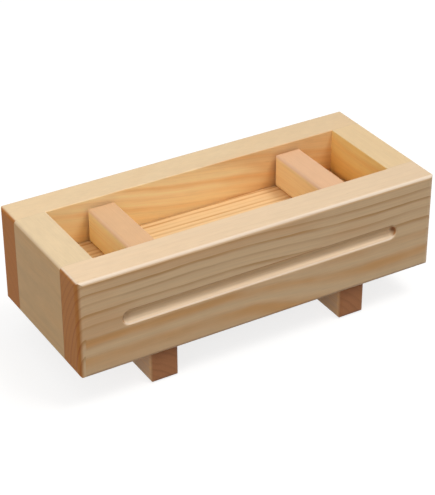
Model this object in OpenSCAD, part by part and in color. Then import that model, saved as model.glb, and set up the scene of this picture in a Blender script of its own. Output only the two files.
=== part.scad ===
// Wooden sushi rice press: an open frame, a lid that presses the rice and a base.
// As stored, the frame stands on the feet of the base and the lid lies on the base board.
// +X runs along the box, +Y to its back and +Z up. The origin is on the table, under
// the middle of the frame. All sizes are in millimetres.

/* [Frame] */
// Outer length of the frame
frame_l = 240; // [220:1:300]
// Outer width of the frame
frame_w = 101; // [90:1:130]
// Height of the frame
frame_h = 62.5; // [52:0.5:80]
// Thickness of the two long walls
side_t = 21; // [16:0.5:24]
// Thickness of the two end walls
end_t = 20.5; // [14:0.5:26]
// Radius of the four upright outer corners
corner_r = 4.5; // [2:0.5:8]
// Radius of the sanded outer edges round the top and the underside
outer_edge_r = 2.5; // [1:0.25:4]
// Radius of the lightly sanded inner rims
rim_edge_r = 0.8; // [0.4:0.1:2]

/* [Finger grooves] */
// Distance from the end of the frame to the end of the groove
groove_end_gap = 26; // [24:0.5:60]
// Radius of the round-nosed cutter
groove_r = 4.4; // [3.5:0.1:6]
// Depth of the groove in the long wall
groove_depth = 4.1; // [3:0.1:5]
// Radius of the groove's sanded edges
groove_edge_r = 1.5; // [0.5:0.1:2]

/* [Lid and base boards] */
// Thickness of the lid board
lid_t = 18; // [15:0.5:20]
// Thickness of the base board
base_t = 17.5; // [15:0.5:20]
// Gap between a board and each long wall
board_side_gap = 0.75; // [0.5:0.05:2]
// Gap between a board and each end wall
board_end_gap = 2; // [1:0.1:4]
// Radius of the sanded board edges
board_edge_r = 0.8; // [0.4:0.1:1.5]

/* [Cleats] */
// Width of a cleat, along the box
cleat_w = 18.5; // [14:0.5:24]
// Height of a lid cleat above its board
lid_cleat_h = 22.5; // [14:0.5:26]
// Height of a foot cleat below its board
foot_cleat_h = 22; // [14:0.5:30]
// Distance from the end of a board to the middle of its cleat
cleat_inset = 32.5; // [20:0.5:45]
// How far a lid cleat stays back from the lid board's long edges
lid_cleat_setback = 0.5; // [0.3:0.1:3]
// How far a foot cleat stays back from the frame's outer faces
foot_setback = 3.5; // [1:0.5:8]
// Radius of the sanded cleat edges
cleat_edge_r = 3; // [1:0.25:4]

/* [Dowels] */
// Radius of the dowels
dowel_r = 3; // [2:0.25:4]
// Length of a dowel, half of it in each piece
dowel_l = 20; // [14:1:22]
// Room for glue beyond each end of a dowel
glue_room = 1; // [0.5:0.1:2]
// Distance of a corner dowel from the top or underside of the frame
corner_dowel_inset = 15; // [10:0.5:20]
// Distance from a board's long edge to the dowel in its cleat
cleat_dowel_inset = 10.75; // [8:0.25:14]

/* [Hidden] */
$fn = 64;
// Past a face, so that a cut goes clean through it
cut_past = 1;
// How far the groove's edge arcs reach past the surfaces that they join, so that they cross them
arc_bite = 0.02;

// The space inside the frame, where the rice is pressed
cavity_l = frame_l - 2 * end_t;
cavity_w = frame_w - 2 * side_t;

// Lid board and base board are cut to one size
board_l = cavity_l - 2 * board_end_gap;
board_w = cavity_w - 2 * board_side_gap;
lid_cleat_l = board_w - 2 * lid_cleat_setback;
foot_cleat_l = frame_w - 2 * foot_setback;
cleat_x = board_l / 2 - cleat_inset;
cleat_dowel_y = board_w / 2 - cleat_dowel_inset;
groove_l = frame_l - 2 * groove_end_gap;

// Middle of the groove's bottom arc above the wall's face, middle of its edge arcs below
// the face, and half the groove's mouth, where these arcs run out into the face
groove_bottom_up = groove_r - groove_depth;
groove_edge_down = groove_edge_r - arc_bite;
groove_mouth = sqrt(pow(groove_r + groove_edge_down, 2) - pow(groove_bottom_up + groove_edge_down, 2));

// Heights above the table
frame_z = foot_cleat_h;
lid_z = frame_z + base_t;
lid_cleat_z = lid_z + lid_t;

// Half of a dowel's hole
bore_depth = dowel_l / 2 + glue_room;

pine = [0.92, 0.82, 0.66];
pine_board = [0.93, 0.76, 0.54];
cleat_wood = [0.88, 0.69, 0.53];
dowel_wood = [0.86, 0.72, 0.52];

// What a name in NODES calls each side of the box
LENGTHWISE = [["left", -1], ["right", 1]];
CROSSWISE = [["front", -1], ["back", 1]];
UPRIGHT = [["lower", -1], ["upper", 1]];

function corner_dowel_name(x, y, z) = str("corner_dowel_", x[0], "_", y[0], "_", z[0]);
function cleat_dowel_name(part, x, y) = str(part, "_dowel_", x[0], "_", y[0]);

// ---- Shapes that repeat ----

// Rectangle with true arcs at its corners, centred
module rounded_rectangle(w, h, r) {
    square([w - 2 * r, h], center = true);
    square([w, h - 2 * r], center = true);
    for (x = [-1, 1], y = [-1, 1])
        translate([x * (w / 2 - r), y * (h / 2 - r)]) circle(r);
}

// Block with every edge sanded round, centred in X and Y and standing on z = 0.
// Its upright edges have the radius upright_r, the others r.
module eased_block(size, r, upright_r) {
    translate([0, 0, size.z / 2]) intersection() {
        linear_extrude(size.z, center = true) rounded_rectangle(size.x, size.y, upright_r);
        rotate([90, 0, 0]) linear_extrude(size.y, center = true) rounded_rectangle(size.x, size.z, r);
        rotate([90, 0, 90]) linear_extrude(size.x, center = true) rounded_rectangle(size.y, size.z, r);
    }
}

// Outline of a gap of width w and height h, whose mouths flare by the radius r.
// It runs past both mouths.
module flared_gap(w, h, r) {
    difference() {
        square([w + 2 * r, h + 2 * cut_past], center = true);
        for (x = [-1, 1]) translate([x * (w / 2 + 2 * r), 0])
            rounded_rectangle(4 * r, h, r);
    }
}

// Dowel of radius dowel_r, centred, along Z
module dowel(length) {
    cylinder(r = dowel_r, h = length, center = true);
}

// ---- Frame ----

// The frame as one sanded block, without its cavity
module frame_block() {
    translate([0, 0, frame_z]) eased_block([frame_l, frame_w, frame_h], outer_edge_r, corner_r);
}

// The cavity, open at the top and the bottom, with eased rims
module cavity() {
    translate([0, 0, frame_z + frame_h / 2]) intersection() {
        rotate([90, 0, 90]) linear_extrude(cavity_l + 2 * rim_edge_r, center = true)
            flared_gap(cavity_w, frame_h, rim_edge_r);
        rotate([90, 0, 0]) linear_extrude(cavity_w + 2 * rim_edge_r, center = true)
            flared_gap(cavity_l, frame_h, rim_edge_r);
    }
}

// Puts its children where a corner dowel crosses from an end wall into a long wall
module at_corner_dowel(x, y, z) {
    translate([
        x[1] * (frame_l - end_t) / 2,
        y[1] * cavity_w / 2,
        frame_z + frame_h / 2 + z[1] * (frame_h / 2 - corner_dowel_inset)
    ]) rotate([90, 0, 0]) children();
}

module corner_bores() {
    for (x = LENGTHWISE, y = CROSSWISE, z = UPRIGHT)
        at_corner_dowel(x, y, z) dowel(2 * bore_depth);
}

// Cross-section of the finger groove. The wall's face is y = 0, and the wood lies below it.
module groove_section() {
    difference() {
        union() {
            translate([0, groove_bottom_up]) circle(groove_r);
            polygon([
                [-groove_mouth, cut_past],
                [groove_mouth, cut_past],
                [groove_mouth, -groove_edge_down],
                [0, groove_bottom_up],
                [-groove_mouth, -groove_edge_down]
            ]);
        }
        for (side = [-1, 1]) translate([side * groove_mouth, -groove_edge_down]) circle(groove_edge_r);
    }
}

// Cutter for a groove along X in a face at z = 0, with the section turned round at both ends
module groove_cutter() {
    straight_l = groove_l - 2 * groove_mouth;
    rotate([90, 0, 90]) linear_extrude(straight_l, center = true) groove_section();
    for (end = [-1, 1]) translate([end * straight_l / 2, 0, 0])
        rotate([0, 0, -90 * end]) rotate_extrude(angle = 180) intersection() {
            groove_section();
            translate([0, -2 * groove_depth]) square([2 * groove_mouth, 4 * groove_depth]);
        }
}

// The groove that the fingertips hold when the frame is lifted off the rice
module finger_groove(y) {
    translate([0, y[1] * frame_w / 2, frame_z + frame_h / 2])
        rotate([-90 * y[1], 0, 0]) groove_cutter();
}

module long_wall(y) {
    color(pine) difference() {
        intersection() {
            frame_block();
            translate([0, y[1] * (frame_w - side_t) / 2, frame_z + frame_h / 2])
                cube([frame_l, side_t, frame_h], center = true);
        }
        cavity();
        finger_groove(y);
        corner_bores();
    }
}

module end_wall(x) {
    color(pine) difference() {
        intersection() {
            frame_block();
            translate([x[1] * (frame_l - end_t) / 2, 0, frame_z + frame_h / 2])
                cube([end_t, cavity_w, frame_h], center = true);
        }
        cavity();
        corner_bores();
    }
}

module corner_dowel(x, y, z) {
    color(dowel_wood) at_corner_dowel(x, y, z) dowel(dowel_l);
}

// ---- Lid ----

// Puts its children where a dowel crosses from a board into a cleat, at the height z
module at_cleat_dowel(x, y, z) {
    translate([x[1] * cleat_x, y[1] * cleat_dowel_y, z]) children();
}

module cleat_bores(z) {
    for (x = LENGTHWISE, y = CROSSWISE) at_cleat_dowel(x, y, z) dowel(2 * bore_depth);
}

module lid_board() {
    color(pine_board) difference() {
        translate([0, 0, lid_z]) eased_block([board_l, board_w, lid_t], board_edge_r, board_edge_r);
        cleat_bores(lid_cleat_z);
    }
}

module lid_cleat(x) {
    color(cleat_wood) difference() {
        translate([x[1] * cleat_x, 0, lid_cleat_z])
            eased_block([cleat_w, lid_cleat_l, lid_cleat_h], cleat_edge_r, cleat_edge_r);
        cleat_bores(lid_cleat_z);
    }
}

module lid_dowel(x, y) {
    color(dowel_wood) at_cleat_dowel(x, y, lid_cleat_z) dowel(dowel_l);
}

// ---- Base ----

module base_board() {
    color(pine_board) difference() {
        translate([0, 0, frame_z]) eased_block([board_l, board_w, base_t], board_edge_r, board_edge_r);
        cleat_bores(frame_z);
    }
}

module foot_cleat(x) {
    color(cleat_wood) difference() {
        translate([x[1] * cleat_x, 0, 0])
            eased_block([cleat_w, foot_cleat_l, foot_cleat_h], cleat_edge_r, cleat_edge_r);
        cleat_bores(frame_z);
    }
}

module foot_dowel(x, y) {
    color(dowel_wood) at_cleat_dowel(x, y, frame_z) dowel(dowel_l);
}

// ---- Nodes ----

long_wall(CROSSWISE[0]);  // front_wall
long_wall(CROSSWISE[1]);  // back_wall
end_wall(LENGTHWISE[0]);  // left_end_wall
end_wall(LENGTHWISE[1]);  // right_end_wall
lid_board();
base_board();
lid_cleat(LENGTHWISE[0]);  // lid_cleat_left
lid_cleat(LENGTHWISE[1]);  // lid_cleat_right
foot_cleat(LENGTHWISE[0]);  // foot_cleat_left
foot_cleat(LENGTHWISE[1]);  // foot_cleat_right
for (x = LENGTHWISE, y = CROSSWISE, z = UPRIGHT)
    corner_dowel(x, y, z);
for (x = LENGTHWISE, y = CROSSWISE) {
    lid_dowel(x, y);
    foot_dowel(x, y);
}
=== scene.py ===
from math import pi, radians

import bpy
from mathutils import Matrix, Vector

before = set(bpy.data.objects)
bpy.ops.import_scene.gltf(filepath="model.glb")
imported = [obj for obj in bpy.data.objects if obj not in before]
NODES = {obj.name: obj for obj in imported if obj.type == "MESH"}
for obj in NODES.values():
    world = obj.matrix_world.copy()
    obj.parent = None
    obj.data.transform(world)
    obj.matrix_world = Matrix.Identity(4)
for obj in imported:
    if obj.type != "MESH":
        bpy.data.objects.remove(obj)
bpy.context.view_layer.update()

MM = 0.001
WHITE = (1.0, 1.0, 1.0, 1.0)


def srgb(red, green, blue):
    """Linear colour of an 8-bit display colour."""
    parts = [value / 255 for value in (red, green, blue)]
    linear = [part / 12.92 if part <= 0.04045 else ((part + 0.055) / 1.055) ** 2.4 for part in parts]
    return (*linear, 1.0)


# ---- Camera: found from the edges of the press in the picture ----

CAMERA_AZIMUTH = radians(-30.80)
CAMERA_ELEVATION = radians(31.253)
CAMERA_ROLL = radians(-0.093)
CAMERA_PLACE = Vector((-0.43791, -0.73116, 0.56181))
CAMERA_LENS = 120.44
CAMERA_SENSOR = 36.0
CAMERA_NEAREST = 0.05
CAMERA_FARTHEST = 50.0


def make_camera():
    data = bpy.data.cameras.new("Camera")
    data.lens = CAMERA_LENS
    data.sensor_width = CAMERA_SENSOR
    data.clip_start = CAMERA_NEAREST
    data.clip_end = CAMERA_FARTHEST
    camera = bpy.data.objects.new("Camera", data)
    turn = (Matrix.Rotation(CAMERA_AZIMUTH, 4, "Z")
            @ Matrix.Rotation(pi / 2 - CAMERA_ELEVATION, 4, "X")
            @ Matrix.Rotation(CAMERA_ROLL, 4, "Z"))
    camera.matrix_world = Matrix.Translation(CAMERA_PLACE) @ turn
    bpy.context.scene.collection.objects.link(camera)
    bpy.context.scene.camera = camera


# ---- Node trees ----

class Graph:
    """Builds one node tree. A node's inputs take numbers, colours and links alike."""

    def __init__(self, tree):
        self.tree = tree
        tree.nodes.clear()

    def fill(self, node, inputs):
        for socket, value in inputs.items():
            if isinstance(value, bpy.types.NodeSocket):
                self.tree.links.new(value, node.inputs[socket])
            else:
                node.inputs[socket].default_value = value

    def add(self, kind, inputs=None, **settings):
        made = self.tree.nodes.new(kind)
        for name, value in settings.items():
            setattr(made, name, value)
        self.fill(made, inputs or {})
        return made

    def math(self, operation, a, b=0.0, clamp=False):
        made = self.add("ShaderNodeMath", {0: a, 1: b}, operation=operation, use_clamp=clamp)
        return made.outputs[0]

    def sum(self, *values):
        total = values[0]
        for value in values[1:]:
            total = self.math("ADD", total, value)
        return total

    def product(self, *values):
        total = values[0]
        for value in values[1:]:
            total = self.math("MULTIPLY", total, value)
        return total

    def size(self, value):
        """Value without its sign."""
        return self.math("ABSOLUTE", value)

    def ramp(self, value, start, end, low=0.0, high=1.0):
        """Goes smoothly from low to high while value goes from start to end."""
        inputs = {"Value": value, "From Min": start, "From Max": end, "To Min": low, "To Max": high}
        made = self.add("ShaderNodeMapRange", inputs, interpolation_type="SMOOTHSTEP")
        return made.outputs["Result"]

    def blend(self, factor, a, b):
        """Number that goes from a to b while factor goes from 0 to 1."""
        return self.add("ShaderNodeMix", {0: factor, 2: a, 3: b}, data_type="FLOAT").outputs[0]

    def mix(self, factor, a, b, blend_type="MIX"):
        """Colour that goes from a to b while factor goes from 0 to 1."""
        inputs = {0: factor, 6: a, 7: b}
        made = self.add("ShaderNodeMix", inputs, data_type="RGBA", blend_type=blend_type)
        return made.outputs[2]

    def shaded(self, colour, value):
        """Colour made lighter or darker by the factor value."""
        return self.mix(1.0, colour, self.joined(value, value, value), "MULTIPLY")

    def split(self, vector):
        return self.add("ShaderNodeSeparateXYZ", {0: vector}).outputs

    def joined(self, x, y, z=0.0):
        return self.add("ShaderNodeCombineXYZ", {0: x, 1: y, 2: z}).outputs[0]

    def vector_math(self, operation, a, b=(0.0, 0.0, 0.0), output="Vector"):
        return self.add("ShaderNodeVectorMath", {0: a, 1: b}, operation=operation).outputs[output]

    def stretched(self, vector, factors, shift=(0.0, 0.0, 0.0)):
        inputs = {0: vector, 1: factors, 2: shift}
        return self.add("ShaderNodeVectorMath", inputs, operation="MULTIPLY_ADD").outputs["Vector"]

    def noise(self, vector, scale=1.0, detail=2.0, roughness=0.5, output="Fac"):
        inputs = {"Vector": vector, "Scale": scale, "Detail": detail, "Roughness": roughness}
        return self.add("ShaderNodeTexNoise", inputs).outputs[output]

    def centred_noise(self, vector, **settings):
        """Noise that goes to either side of 0."""
        return self.math("SUBTRACT", self.noise(vector, **settings), 0.5)


# ---- Softwood: growth rings round a pith, cut by the board's faces ----

# What a board's material hands to the wood group. Lengths are in millimetres.
WOOD_INPUTS = {
    "NodeSocketVector": [
        "Position",        # in the wood's own axes: X along the grain, from the pith
        "Normal",
        "Wood normal",     # in the wood's own axes
        "Inner side",      # the way that the face towards the rice looks, or 0 for none
    ],
    "NodeSocketFloat": [
        "End grain from",  # how far from the middle, along the grain, the ends begin
        "Ring width",
        "Ring offset",     # rings that the count starts below 0
        "Unevenness",      # how far the rings differ in width, in rings
        "Wander",          # how far the rings sway
        "Step start",      # from here along the grain ...
        "Step end",        # ... to here
        "Step rings",      # the count rises by so many rings
        "Ring seed",       # picks which rings are strong
        "Late start",      # share of a ring at which its dark part starts
        "Late peak",       # and the share at which it is darkest
        "Contrast",
        "Top fading",      # how much of the pattern is lost on level faces
        "Top drift",       # how much lighter the top gets in 100 mm along the grain
        "Figure",          # strength of the cloudy patches
        "Warmth",          # strength of the warm patches
        "Warm drift",      # how much more of them there is 100 mm on along the grain: painted shade towards one end
        "Edge wear",       # how pale the edges that look up are: sanded wood and a painted highlight
    ],
    # Top, Early and Inner are copies of one wood's colour, painted for the light and shade on faces
    # that look up, sideways and towards the rice
    "NodeSocketColor": ["Early", "Late", "Soft late", "Top", "Inner", "End early", "End late"],
}
WOOD_OUTPUTS = {
    "NodeSocketColor": ["Color"],
    "NodeSocketFloat": ["Height", "Roughness"],
}
PER_100_MM = 0.01

# How fine each noise is, per millimetre along the grain and to its two sides, and where it starts
GRIDS = {
    "sway": ((0.011, 0.016, 0.016), (0.0, 0.0, 0.0)),
    "ripple": ((0.03, 0.12, 0.12), (0.0, 0.0, 0.0)),
    "fibre": ((0.035, 1.3, 1.3), (0.0, 0.0, 0.0)),
    "fleck": ((0.09, 1.0, 1.0), (31.0, 7.0, 3.0)),
    "cloud": ((0.012, 0.05, 0.05), (5.0, 9.0, 2.0)),
    "mottle": ((0.10, 0.22, 0.22), (2.0, 4.0, 8.0)),
    "warm": ((0.009, 0.055, 0.055), (13.0, 5.0, 7.0)),
}
# The same for the noises that follow the rings: per millimetre along the grain, and per ring
STREAK_GRID = (0.010, 5.0)
STRENGTH_GRID = (0.018, 0.6)
UNEVEN_GRID = 0.43
PORE_SCALE = 1.9

# How strong each noise is: the ripple in millimetres, the shades as shares of the colour
RIPPLE_HEIGHT = 1.1
FIBRE_SHADE = 0.16
STREAK_SHADE = 0.22
FLECK_SHADE = -0.08
CLOUD_SHARE = 0.5
PORE_SHADE = 0.35
# A ring's strength lies between the first of these and their sum
WEAKEST_RING = 0.15
RING_STRENGTH_RANGE = 0.85

# While a measure of 0 to 1 goes from the first to the second of these, a face comes to count as
LEVEL = (0.80, 0.96)       # level, by how far its normal stands up or down
RISING = (0.20, 0.65)      # looking up, by how far its normal stands up
INWARD = (0.5, 0.9)        # the face towards the rice, by how straight it looks that way
FLAT_CUT = (0.89, 0.94)    # cut flat, by how straight it looks away from the pith
CUT_ACROSS = (0.45, 0.85)  # end grain, by how straight it looks along the grain
ROUNDED = (0.985, 0.85)    # an edge, by its normal's largest part

# While a noise goes from the first to the second of these, its flecks or patches come to show
FLECK_SHOWS = (0.70, 0.80)
WARM_SHOWS = (0.47, 0.68)
# While it goes from the first to the second, a ring's strength goes from the third to the fourth
STRENGTH_CHANGES = (0.30, 0.65, 0.55, 1.15)

# Where late wood starts and peaks within a ring on flat-cut and inner faces, as broad bands
SOFT_LATE_START = 0.05
SOFT_LATE_PEAK = 0.60

WARM_PATCH = srgb(216, 150, 84)
# Pale sanded wood and painted highlight on the edges that look up
EDGE_COLOUR = srgb(254, 238, 220)

LATE_HEIGHT = 0.35
FIBRE_HEIGHT = 0.6
ROUGHNESS = 0.52
FIBRE_ROUGHNESS = 0.12
END_ROUGHNESS = 0.12


def ring_grid(g, along, rings, grid):
    """Place for a noise that follows the rings."""
    return g.joined(g.product(along, grid[0]), g.product(rings, grid[1]))


def ring_count(g, given):
    """Growth rings between the pith and each point, its distance along the grain, and whether the
    face there is cut flat, along the rings."""
    position = given["Position"]
    sway = g.noise(g.stretched(position, *GRIDS["sway"]), detail=1.0, output="Color")
    sway = g.vector_math("SUBTRACT", sway, (0.5, 0.5, 0.5))
    sway = g.add("ShaderNodeVectorMath", {0: sway, "Scale": given["Wander"]}, operation="SCALE")
    along, across, upward = g.split(g.vector_math("ADD", position, sway.outputs[0]))
    distance = g.math("SQRT", g.sum(g.product(across, across), g.product(upward, upward)))
    from_pith = g.joined(0.0, across, upward)
    outward = g.vector_math("DOT_PRODUCT", given["Wood normal"], from_pith, "Value")
    flat_cut = g.ramp(g.math("DIVIDE", g.size(outward), distance), *FLAT_CUT)

    ripple = g.centred_noise(g.stretched(position, *GRIDS["ripple"]), detail=3.0)
    distance = g.sum(distance, g.product(ripple, RIPPLE_HEIGHT))
    step = g.product(g.ramp(along, given["Step start"], given["Step end"]), given["Step rings"])
    rings = g.sum(g.math("DIVIDE", distance, given["Ring width"]), step)
    rings = g.math("SUBTRACT", rings, given["Ring offset"])
    uneven = g.add("ShaderNodeTexNoise",
                   {"W": g.product(rings, UNEVEN_GRID), "Scale": 1.0, "Detail": 1.0},
                   noise_dimensions="1D").outputs["Fac"]
    uneven = g.product(g.math("SUBTRACT", uneven, 0.5), given["Unevenness"])
    return g.sum(rings, uneven), along, flat_cut


def late_wood(g, given, rings, along, soft):
    """Dark outer part of each ring, a thin line or a soft band, stronger in some rings."""
    part = g.math("FRACT", rings)
    start = g.blend(soft, given["Late start"], SOFT_LATE_START)
    peak = g.blend(soft, given["Late peak"], SOFT_LATE_PEAK)
    late = g.product(g.ramp(part, start, peak), g.ramp(part, peak, 1.0, 1.0, 0.0))
    number = g.sum(g.math("FLOOR", rings), given["Ring seed"])
    strength = g.add("ShaderNodeTexWhiteNoise", {"W": number}, noise_dimensions="1D")
    strength = g.sum(g.product(strength.outputs["Value"], RING_STRENGTH_RANGE), WEAKEST_RING)
    change = g.noise(ring_grid(g, along, rings, STRENGTH_GRID), detail=2.0)
    return g.product(late, strength, g.ramp(change, *STRENGTH_CHANGES), given["Contrast"])


def shade_of(g, given, rings, along, shown, fibre):
    """Fibres, fine lines beside the rings, short resin flecks and soft cloudy figure, round 1."""
    position = given["Position"]
    streak = g.centred_noise(ring_grid(g, along, rings, STREAK_GRID), detail=3.0)
    fleck = g.noise(g.stretched(position, *GRIDS["fleck"]), detail=1.0)
    cloud = g.centred_noise(g.stretched(position, *GRIDS["cloud"]), detail=3.0)
    mottle = g.centred_noise(g.stretched(position, *GRIDS["mottle"]), detail=2.0)
    return g.sum(1.0,
                 g.product(fibre, FIBRE_SHADE),
                 g.product(streak, shown, STREAK_SHADE),
                 g.product(g.ramp(fleck, *FLECK_SHOWS), FLECK_SHADE),
                 g.product(g.sum(g.product(cloud, CLOUD_SHARE), mottle), given["Figure"]))


def warm_patches(g, given, along, shown):
    """Share of the warm colour at each point: the wood's warm patches, and with Warm drift painted
    shade growing along the grain.
    """
    warm = g.noise(g.stretched(given["Position"], *GRIDS["warm"]), detail=2.0)
    warm = g.sum(warm, g.product(along, given["Warm drift"], PER_100_MM))
    return g.product(g.ramp(warm, *WARM_SHOWS), given["Warmth"], shown)


def end_share_of(g, given, along):
    """1 on the ends, where the board is cut across its grain."""
    facing = g.size(g.split(given["Wood normal"])[0])
    at_end = g.math("GREATER_THAN", g.size(along), given["End grain from"])
    return g.product(g.ramp(facing, *CUT_ACROSS), at_end)


def make_sockets(tree, in_out, sockets):
    for kind, names in sockets.items():
        for name in names:
            tree.interface.new_socket(name, in_out=in_out, socket_type=kind)


def softwood_group():
    """The wood's colour, height and roughness at each point of a board."""
    tree = bpy.data.node_groups.new("Softwood", "ShaderNodeTree")
    make_sockets(tree, "INPUT", WOOD_INPUTS)
    make_sockets(tree, "OUTPUT", WOOD_OUTPUTS)
    g = Graph(tree)
    given = g.add("NodeGroupInput").outputs

    normal = given["Normal"]
    nx, ny, nz = [g.size(part) for part in g.split(normal)]
    rising = g.ramp(g.split(normal)[2], *RISING)
    shown = g.math("SUBTRACT", 1.0, g.product(g.ramp(nz, *LEVEL), given["Top fading"]))
    inner = g.ramp(g.vector_math("DOT_PRODUCT", normal, given["Inner side"], "Value"), *INWARD)

    rings, along, flat_cut = ring_count(g, given)
    soft = g.math("MAXIMUM", flat_cut, inner)
    late = g.math("MULTIPLY", late_wood(g, given, rings, along, soft), shown, clamp=True)
    fibre = g.stretched(given["Position"], *GRIDS["fibre"])
    fibre = g.centred_noise(fibre, detail=3.0, roughness=0.65)

    # Painted light and shade: faces that look up take Top, the others Early, and faces towards the
    # rice take Inner, warmer as if lit by light bounced inside the box
    top = g.shaded(given["Top"], g.sum(1.0, g.product(along, given["Top drift"], PER_100_MM)))
    early = g.mix(inner, g.mix(rising, given["Early"], top), given["Inner"])
    side = g.mix(late, early, g.mix(soft, given["Late"], given["Soft late"]))
    side = g.mix(warm_patches(g, given, along, shown), side, WARM_PATCH)
    side = g.shaded(side, shade_of(g, given, rings, along, shown, fibre))

    # End grain: open pores, darker and more saturated
    pores = g.centred_noise(given["Position"], scale=PORE_SCALE, detail=3.0, roughness=0.7)
    end = g.mix(late, given["End early"], given["End late"])
    end = g.shaded(end, g.sum(1.0, g.product(pores, PORE_SHADE)))
    end_share = end_share_of(g, given, along)
    colour = g.mix(end_share, side, end)

    # Edges that look up are a little lighter than the faces: partly paler sanded wood, partly a
    # painted highlight
    largest = g.math("MAXIMUM", nx, g.math("MAXIMUM", ny, nz))
    worn_and_highlit = g.product(g.ramp(largest, *ROUNDED), rising, g.math("SUBTRACT", 1.0, end_share))
    colour = g.mix(g.product(worn_and_highlit, given["Edge wear"]), colour, EDGE_COLOUR)

    g.add("NodeGroupOutput", {
        "Color": colour,
        "Height": g.sum(g.product(late, LATE_HEIGHT), g.product(fibre, FIBRE_HEIGHT),
                        g.product(pores, end_share)),
        "Roughness": g.sum(ROUGHNESS, g.product(fibre, FIBRE_ROUGHNESS),
                           g.product(end_share, END_ROUGHNESS)),
    })
    return tree


SOFTWOOD = softwood_group()


# ---- What was done to a board, and painted light and shade: each function gives the colour after it ----

# Where an end wall meets a long wall, and from where that shows
JOINT_Y = 29.5 * MM
JOINT_FROM_X = 100.5 * MM
JOINT_HALF_WIDTH = 0.22 * MM
JOINT_COLOUR = srgb(120, 82, 48)
# How strong the joint's line is on an upright face and on a level one
JOINT_STRENGTH = (0.45, 0.16)


def joint_line(g, place, colour):
    """Thin darker line where an end wall is glued between the long walls, faint on the top."""
    x, y, _z = g.split(place["Object"])
    _nx, ny, nz = [g.size(part) for part in g.split(place["Normal"])]
    off = g.size(g.math("SUBTRACT", g.size(y), JOINT_Y))
    line = g.ramp(off, 0.0, JOINT_HALF_WIDTH, 1.0, 0.0)
    outside = g.math("GREATER_THAN", g.size(x), JOINT_FROM_X)
    across = g.math("LESS_THAN", ny, 0.5)
    strength = g.ramp(nz, 0.5, 0.9, *JOINT_STRENGTH)
    return g.mix(g.product(line, outside, across, strength), colour, JOINT_COLOUR)


# The space for the rice inside the four walls, and the heights between which the painted shade fades
# out
CAVITY_HALF_X = 99.6 * MM
CAVITY_HALF_Y = 29.6 * MM
CAVITY_SHADE_FULL_Z = 58.0 * MM
CAVITY_SHADE_END_Z = 76.0 * MM
CAVITY_SHADE = (0.94, 0.80, 0.58, 1.0)
CAVITY_SHADE_SHARE = 0.45


def cavity_shade(g, place, colour):
    """Painted shade: the lower part of the inner faces, deep in the cavity, is darker and deeper in
    colour.
    """
    x, y, z = g.split(place["Object"])
    inside = g.product(g.math("LESS_THAN", g.size(x), CAVITY_HALF_X),
                       g.math("LESS_THAN", g.size(y), CAVITY_HALF_Y))
    share = g.product(inside, g.ramp(z, CAVITY_SHADE_FULL_Z, CAVITY_SHADE_END_Z, CAVITY_SHADE_SHARE, 0.0))
    return g.mix(share, colour, CAVITY_SHADE, "MULTIPLY")


# The finger groove in a long wall: where it is, and how far it reaches
GROOVE_Z = 53.25 * MM
GROOVE_HALF_HEIGHT = 6.5 * MM
GROOVE_HALF_LENGTH = 94.5 * MM
GROOVE_DEEPEST = 5.2 * MM
WALL_Y = 50.5 * MM

# Depths between which the groove's painted light comes to show, and how much of it then shows
GROOVE_LIGHT_DEPTH = (0.4 * MM, 2.6 * MM)
GROOVE_LIGHT_SHARE = 0.85
GROOVE_LIGHT_COLOUR = srgb(250, 222, 184)
# Fine lines that the cutter leaves along the groove: how fine per metre, and how strong
CUTTER_LINES = (9.0, 800.0, 800.0)
CUTTER_LINE_SHADE = 0.55

# Painted shade lies on the turned ends, below the lip and in their upper half
GROOVE_END_SHADE = srgb(140, 92, 52)
GROOVE_END_SHADE_TURN = (0.30, 0.75)
GROOVE_END_SHADE_DEPTH = (0.2 * MM, 1.2 * MM)
GROOVE_END_SHADE_ABOVE = (-2.5 * MM, 0.5 * MM)


def groove_lines_light_and_shade(g, place, colour):
    """Painted light makes the groove paler, with fine lines that the cutter left in it, and painted
    shade darkens the upper half of its ends.
    """
    x, y, z = g.split(place["Object"])
    turned = g.size(g.split(place["Normal"])[0])
    depth = g.math("SUBTRACT", WALL_Y, g.size(y))
    above = g.math("SUBTRACT", z, GROOVE_Z)
    inside = g.product(g.math("LESS_THAN", g.size(above), GROOVE_HALF_HEIGHT),
                       g.math("LESS_THAN", g.size(x), GROOVE_HALF_LENGTH),
                       g.math("LESS_THAN", depth, GROOVE_DEEPEST))
    lines = g.centred_noise(g.stretched(place["Object"], CUTTER_LINES), detail=1.0)
    lit_groove = g.shaded(GROOVE_LIGHT_COLOUR, g.sum(1.0, g.product(lines, CUTTER_LINE_SHADE)))
    share = g.product(inside, g.ramp(depth, *GROOVE_LIGHT_DEPTH), GROOVE_LIGHT_SHARE)
    colour = g.mix(share, colour, lit_groove)
    # Painted shade: the upper half of the groove's turned ends is made darker
    end_shade = g.product(inside, g.ramp(turned, *GROOVE_END_SHADE_TURN), g.ramp(depth, *GROOVE_END_SHADE_DEPTH),
                       g.ramp(above, *GROOVE_END_SHADE_ABOVE))
    return g.mix(end_shade, colour, GROOVE_END_SHADE)


LONG_WALL_MARKS = (groove_lines_light_and_shade, cavity_shade, joint_line)
END_WALL_MARKS = (cavity_shade, joint_line)


# ---- A material for each board ----

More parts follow.
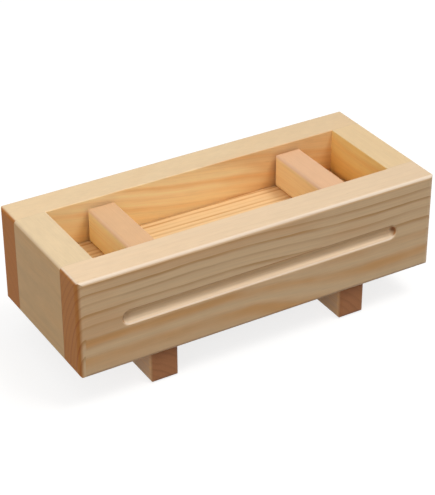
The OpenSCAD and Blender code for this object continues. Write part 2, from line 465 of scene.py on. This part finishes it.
# Top and Inner in these tables are painted light and shade: Top for faces that look up, Inner warmer
# for light bounced inside the box
PALE = {
    "Early": srgb(240, 210, 170),
    "Late": srgb(212, 170, 120),
    "Soft late": srgb(224, 172, 112),
    "Top": srgb(241, 212, 175),
    "End early": srgb(202, 136, 63),
    "End late": srgb(172, 100, 42),
}
INSIDE = {
    **PALE,
    "Late": srgb(216, 156, 92),
    "Soft late": srgb(242, 176, 98),
    "Inner": srgb(251, 223, 169),
}
STRIPED = {
    "Early": srgb(242, 208, 158),
    "Late": srgb(208, 158, 100),
    "Soft late": srgb(214, 160, 100),
    "Top": srgb(242, 208, 158),
    "End early": srgb(218, 160, 104),
    "End late": srgb(176, 112, 66),
}
PINK = {
    "Early": srgb(255, 230, 172),
    "Late": srgb(240, 190, 124),
    "Soft late": srgb(240, 190, 124),
    "Top": srgb(230, 184, 138),
    "End early": srgb(190, 130, 88),
    "End late": srgb(160, 104, 68),
}
PINK_RIGHT = {**PINK, "Early": srgb(255, 222, 166), "Top": srgb(233, 186, 145)}
PINK_FOOT = {**PINK, "Early": srgb(236, 190, 144)}
FRONT_WALL = {
    **PALE,
    "Late": srgb(205, 161, 110),
    "Soft late": srgb(230, 180, 122),
    "Top": srgb(238, 210, 175),
    "Inner": srgb(252, 212, 150),
    "End early": srgb(189, 123, 54),
}
BACK_WALL = {
    **INSIDE,
    "Top": srgb(234, 206, 165),
    "Inner": srgb(255, 229, 177),
    "End early": srgb(190, 119, 46),
}
# The left end wall's outer face is painted darker than its top: painted shade
LEFT_END = {**INSIDE, "Early": srgb(215, 176, 120), "Top": srgb(237, 211, 170)}
RIGHT_END = {**INSIDE, "Top": srgb(232, 202, 156), "Inner": srgb(255, 219, 141)}

DEFAULTS = {
    "End grain from": 0.0,
    "Ring offset": 0.0,
    "Unevenness": 0.5,
    "Wander": 6.0,
    "Step start": 0.0,
    "Step end": 1.0,
    "Step rings": 0.0,
    "Ring seed": 0.0,
    "Late start": 0.40,
    "Late peak": 0.93,
    "Contrast": 0.8,
    "Top fading": 0.88,
    "Top drift": 0.0,
    "Figure": 0.10,
    "Warmth": 0.0,
    "Warm drift": 0.0,
    "Edge wear": 0.12,
    "Inner": srgb(240, 210, 170),
    "Inner side": (0.0, 0.0, 0.0),
}

# Turns that lay the wood's own X axis along the grain
GRAIN_TURNS = {"X": (0.0, 0.0, 0.0), "Y": (0.0, 0.0, pi / 2), "Z": (0.0, -pi / 2, 0.0)}

BUMP_STRENGTH = 0.35
BUMP_DISTANCE = 0.15 * MM
SPECULAR = 0.5


def into_wood(g, vector, turn, **inputs):
    """Vector in the wood's own axes, whose X runs along the grain."""
    inputs = {"Vector": vector, "Rotation": turn, **inputs}
    return g.add("ShaderNodeMapping", inputs, vector_type="TEXTURE").outputs[0]


def softwood(name, grain, pith, ring_width, colours, marks=(), tilt=(0.0, 0.0, 0.0), **changes):
    """Wood for one board. pith is a point on its growth rings' middle line, in metres, and tilt
    leans that line out of the board's own direction. marks say what was done to the board and
    add painted light and shade, and changes are values for DEFAULTS, with _ for a space."""
    material = bpy.data.materials.new(name)
    material.use_nodes = True
    g = Graph(material.node_tree)
    place = g.add("ShaderNodeTexCoord").outputs
    turn = Vector(GRAIN_TURNS[grain]) + Vector(tilt)
    wood = g.add("ShaderNodeGroup", node_tree=SOFTWOOD)
    changes = {key.replace("_", " ").capitalize(): value for key, value in changes.items()}
    g.fill(wood, {
        **DEFAULTS,
        **colours,
        **changes,
        "Ring width": ring_width,
        "Position": into_wood(g, place["Object"], turn, Location=pith, Scale=(MM, MM, MM)),
        "Normal": place["Normal"],
        "Wood normal": into_wood(g, place["Normal"], turn),
    })
    colour = wood.outputs["Color"]
    for mark in marks:
        colour = mark(g, place, colour)
    bump = g.add("ShaderNodeBump", {
        "Strength": BUMP_STRENGTH,
        "Distance": BUMP_DISTANCE,
        "Height": wood.outputs["Height"],
    })
    shader = g.add("ShaderNodeBsdfPrincipled", {
        "Base Color": colour,
        "Roughness": wood.outputs["Roughness"],
        "Specular IOR Level": SPECULAR,
        "Normal": bump.outputs["Normal"],
    })
    g.add("ShaderNodeOutputMaterial", {"Surface": shader.outputs[0]})
    return material


WOODS = {
    "front_wall": softwood(
        "front_wall_pine", "X", (0.0, -0.1345, 0.0113), 3.65, FRONT_WALL, LONG_WALL_MARKS,
        ring_offset=24.17, ring_seed=3737.0, unevenness=0.0, wander=0.0,
        step_start=-30.0, step_end=70.0, step_rings=0.86, contrast=1.0, late_start=0.5,
        warmth=0.25, edge_wear=0.65, end_grain_from=85.0, top_drift=-0.05,
        inner_side=(0.0, 1.0, 0.0)),
    "back_wall": softwood(
        "back_wall_pine", "X", (0.0, 0.070, -0.010), 6.0, BACK_WALL, LONG_WALL_MARKS,
        tilt=(0.0, 0.175, 0.0), wander=5.0, contrast=0.42, warmth=0.42, warm_drift=0.30,
        # Warm drift paints shade that deepens the colour towards the wall's right end
        end_grain_from=85.0, top_drift=-0.05, inner_side=(0.0, -1.0, 0.0)),
    "left_end_wall": softwood(
        "left_end_pine", "Y", (-0.040, 0.0, 0.050), 4.0, LEFT_END, END_WALL_MARKS,
        contrast=0.35, figure=0.16, inner_side=(1.0, 0.0, 0.0)),
    "right_end_wall": softwood(
        "right_end_pine", "Y", (0.165, 0.0, 0.045), 4.2, RIGHT_END, END_WALL_MARKS,
        contrast=0.35, inner_side=(-1.0, 0.0, 0.0)),
    "lid_board": softwood(
        "lid_board_pine", "X", (0.0, 0.090, 0.030), 3.6, STRIPED,
        tilt=(0.0, 0.0, -0.02), ring_offset=19.14, ring_seed=3759.0, unevenness=0.0,
        wander=2.0, late_start=0.30, late_peak=0.75, contrast=1.0, top_fading=0.0),
    "base_board": softwood(
        "base_board_pine", "X", (0.0, -0.070, 0.060), 6.0, STRIPED, top_fading=0.0),
    "lid_cleat_left": softwood(
        "left_grip_wood", "Y", (-0.090, 0.0, 0.110), 5.0, PINK, contrast=0.25),
    "lid_cleat_right": softwood(
        "right_grip_wood", "Y", (0.110, 0.0, 0.120), 5.5, PINK_RIGHT, contrast=0.25),
    "foot_cleat_left": softwood(
        "left_foot_wood", "Y", (-0.090, 0.0, -0.030), 4.0, PINK_FOOT, contrast=0.6),
    "foot_cleat_right": softwood(
        "right_foot_wood", "Y", (0.030, 0.0, -0.025), 4.5, PINK_FOOT, contrast=0.6),
}
CORNER_DOWEL_WOOD = softwood("corner_dowel_wood", "Y", (0.10, 0.0, 0.02), 2.0, PALE)
CLEAT_DOWEL_WOOD = softwood("cleat_dowel_wood", "Z", (0.05, 0.02, 0.0), 2.0, PALE)


def wood_of(name):
    if name in WOODS:
        return WOODS[name]
    return CORNER_DOWEL_WOOD if name.startswith("corner_dowel") else CLEAT_DOWEL_WOOD


def dress_boards():
    for name, piece in NODES.items():
        piece.data.materials.clear()
        piece.data.materials.append(wood_of(name))


# ---- Floor, world and lamps ----

FLOOR_SIDE = 6.0
# What the camera sees of the floor: its own white, and a part that takes the press's shadow
FLOOR_GLOW = 0.80
FLOOR_SHADED = (0.30, 0.30, 0.30, 1.0)
# Distances from the middle, in metres, over which that white becomes full
FLOOR_FADE = (0.35, 1.60)
# What the press gets back from the floor
FLOOR_BOUNCE = srgb(102, 80, 50)

# A large soft dome, brightest overhead and dark at the horizon
DOME_LIGHT = (1.0, 0.98, 0.95, 1.0)
DOME_STRENGTH = 0.75
DOME_RIM = 0.05

OBJECT_MIDDLE = Vector((0.0, 0.0, 0.05))
LAMP_COLOUR = (1.0, 0.98, 0.95)
LAMPS = {
    # name: place, side of the square, power in watts
    "Key": ((0.85, -0.78, 2.30), 1.0, 28.5),
    "Fill": ((-1.10, -0.50, 0.46), 0.7, 3.2),
}


def seen_directly(g):
    """1 for rays from the camera, and for those that a gloss or a glass sends on."""
    path = g.add("ShaderNodeLightPath").outputs
    return g.math("MAXIMUM", path["Is Camera Ray"],
                  g.math("MAXIMUM", path["Is Glossy Ray"], path["Is Transmission Ray"]))


def floor_material():
    material = bpy.data.materials.new("Floor")
    material.use_nodes = True
    g = Graph(material.node_tree)
    away = g.vector_math("LENGTH", g.add("ShaderNodeTexCoord").outputs["Object"], output="Value")
    strength = g.ramp(away, *FLOOR_FADE, FLOOR_GLOW, 1.0)
    glow = g.add("ShaderNodeEmission", {"Color": WHITE, "Strength": strength}).outputs[0]
    shaded = g.add("ShaderNodeBsdfDiffuse", {"Color": FLOOR_SHADED}).outputs[0]
    white = g.add("ShaderNodeAddShader", {0: glow, 1: shaded}).outputs[0]
    bounce = g.add("ShaderNodeBsdfDiffuse", {"Color": FLOOR_BOUNCE}).outputs[0]
    both = g.add("ShaderNodeMixShader", {0: seen_directly(g), 1: bounce, 2: white}).outputs[0]
    g.add("ShaderNodeOutputMaterial", {"Surface": both})
    return material


def make_floor():
    mesh = bpy.data.meshes.new("Floor")
    half = FLOOR_SIDE / 2
    corners = [(-half, -half, 0), (half, -half, 0), (half, half, 0), (-half, half, 0)]
    mesh.from_pydata(corners, [], [(0, 1, 2, 3)])
    mesh.materials.append(floor_material())
    floor = bpy.data.objects.new("Floor", mesh)
    bpy.context.scene.collection.objects.link(floor)


def make_world():
    world = bpy.data.worlds.new("World")
    world.use_nodes = True
    bpy.context.scene.world = world
    g = Graph(world.node_tree)
    _x, _y, height = g.split(g.add("ShaderNodeTexCoord").outputs["Generated"])
    strength = g.product(g.math("MAXIMUM", height, DOME_RIM), DOME_STRENGTH)
    sky = g.add("ShaderNodeBackground", {"Color": DOME_LIGHT, "Strength": strength}).outputs[0]
    white = g.add("ShaderNodeBackground", {"Color": WHITE, "Strength": 1.0}).outputs[0]
    both = g.add("ShaderNodeMixShader", {0: seen_directly(g), 1: sky, 2: white}).outputs[0]
    g.add("ShaderNodeOutputWorld", {"Surface": both})


def make_lamp(name, place, side, power):
    data = bpy.data.lights.new(name, "AREA")
    data.size = side
    data.energy = power
    data.color = LAMP_COLOUR
    lamp = bpy.data.objects.new(name, data)
    lamp.location = place
    lamp.rotation_mode = "QUATERNION"
    lamp.rotation_quaternion = (OBJECT_MIDDLE - Vector(place)).to_track_quat("-Z", "Y")
    bpy.context.scene.collection.objects.link(lamp)


make_camera()
dress_boards()
make_floor()
make_world()
for name, facts in LAMPS.items():
    make_lamp(name, *facts)
bpy.context.scene.view_settings.view_transform = "Standard"

bpy.context.view_layer.update()
